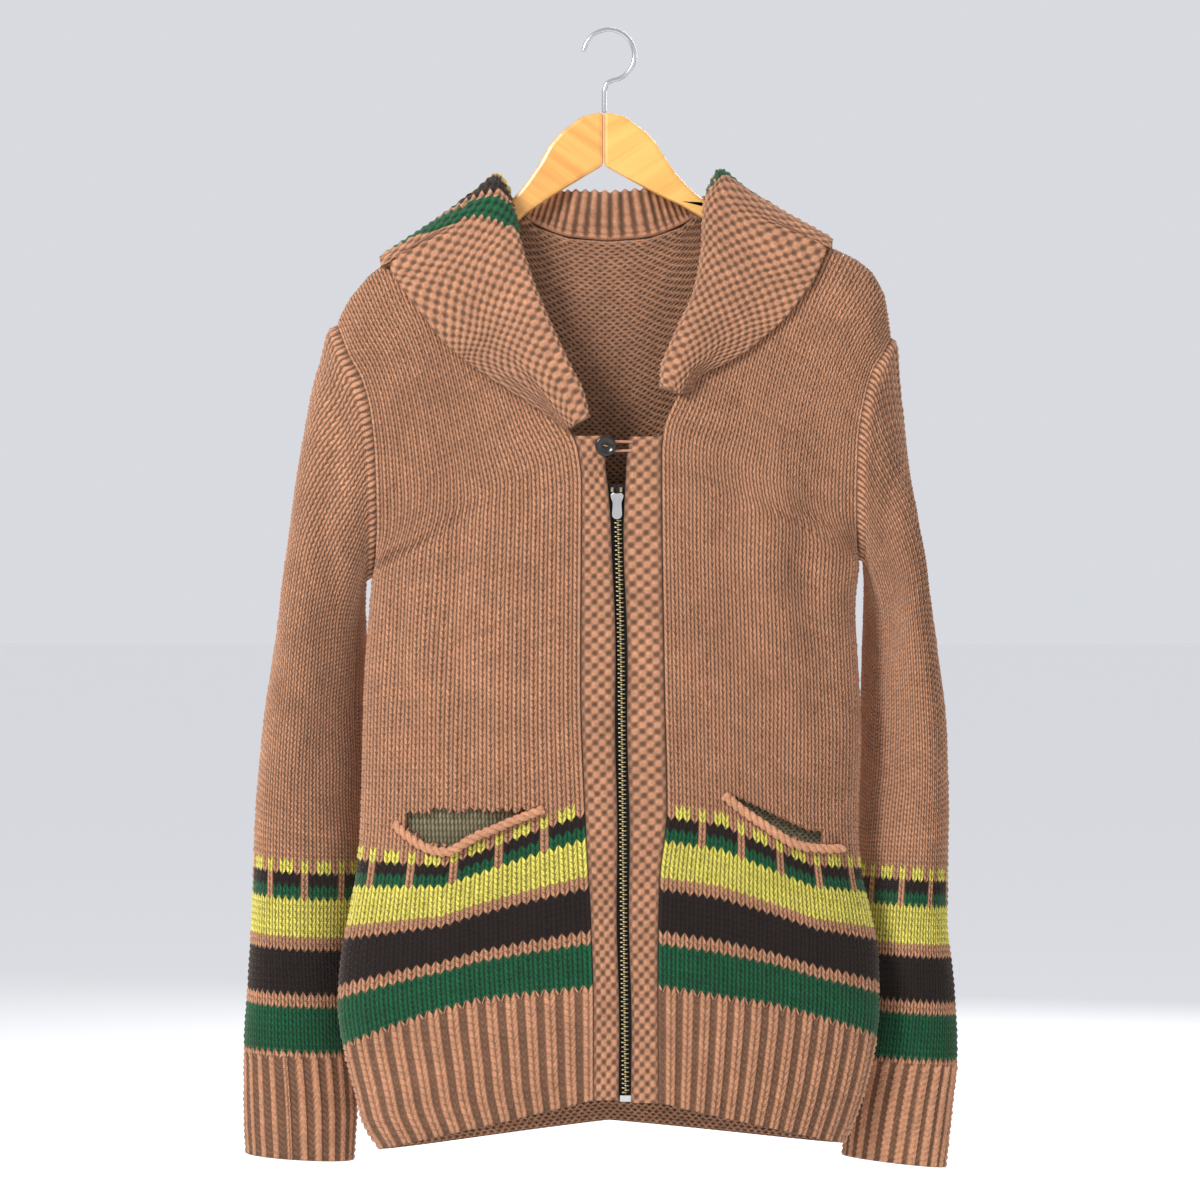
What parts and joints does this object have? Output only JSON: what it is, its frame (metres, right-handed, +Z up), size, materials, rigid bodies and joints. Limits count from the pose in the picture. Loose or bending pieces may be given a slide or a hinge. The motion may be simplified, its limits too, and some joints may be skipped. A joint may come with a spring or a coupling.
{
  "type": "knitted zip cardigan on a wooden hanger",
  "caption": "Hip-length hand-knitted zip cardigan with a shawl collar, striped hem, wrists and collar, and slit pockets, hanging on a flat wooden hanger.",
  "frame": {"origin": "where a rail bears on the underside of the hook's bend", "axes": "+Z up, front of the cardigan towards -Y, +X to the viewer's right"},
  "size_m": [0.5415, 0.1226, 0.8636],
  "materials": {
    "front_left": "stockinette in bulky wool, tan with bands of yellow, dark brown and green",
    "front_right": "stockinette in bulky wool, tan with bands of yellow, dark brown and green",
    "back": "stockinette in bulky wool, tan with bands of yellow, dark brown and green",
    "sleeve_left": "stockinette in bulky wool with striped wrist and ribbed cuff",
    "sleeve_right": "stockinette in bulky wool with striped wrist and ribbed cuff",
    "collar": "moss stitch in bulky wool, with stripes of green, dark brown and yellow",
    "band_left": "moss stitch in bulky wool",
    "band_right": "moss stitch in bulky wool",
    "pocket_edge_left": "crochet chain in bulky wool",
    "pocket_edge_right": "crochet chain in bulky wool",
    "pocket_lining_left": "stockinette in thin wool",
    "pocket_lining_right": "stockinette in thin wool",
    "zip_tape_left": "woven tape",
    "zip_tape_right": "woven tape",
    "zip_chain_left": "moulded coil",
    "zip_chain_right": "moulded coil",
    "zip_stop_left": "moulded",
    "zip_stop_right": "moulded",
    "zip_end": "moulded",
    "zip_slider": "plated die casting",
    "zip_pull": "plated die casting",
    "button": "polished",
    "button_loop": "twisted wool yarn",
    "hanger_left": "clear lacquer",
    "hanger_right": "clear lacquer",
    "hook": "plated wire"
  },
  "bodies": {
    "cardigan": {"front_left": "front_left", "front_right": "front_right", "back": "back", "sleeve_left": "sleeve_left", "sleeve_right": "sleeve_right", "collar": "collar", "band_left": "band_left", "band_right": "band_right", "pocket_edge_left": "pocket_edge_left", "pocket_edge_right": "pocket_edge_right", "pocket_lining_left": "pocket_lining_left", "pocket_lining_right": "pocket_lining_right", "zip_tape_left": "zip_tape_left", "zip_tape_right": "zip_tape_right", "zip_chain_left": "zip_chain_left", "zip_chain_right": "zip_chain_right", "zip_stop_left": "zip_stop_left", "zip_stop_right": "zip_stop_right", "zip_end": "zip_end", "zip_slider": "zip_slider", "button": "button", "button_loop": "button_loop", "hanger_left": "hanger_left", "hanger_right": "hanger_right", "hook": "hook"},
    "pull": {"zip_pull": "zip_pull"}
  },
  "joints": [
    {"name": "pull_swing", "type": "hinge", "parent": "cardigan", "child": "pull", "pos_m": [0.00602, -0.04291, -0.35405], "axis": [-1, 0, 0], "range_deg": [0, 150]}
  ]
}
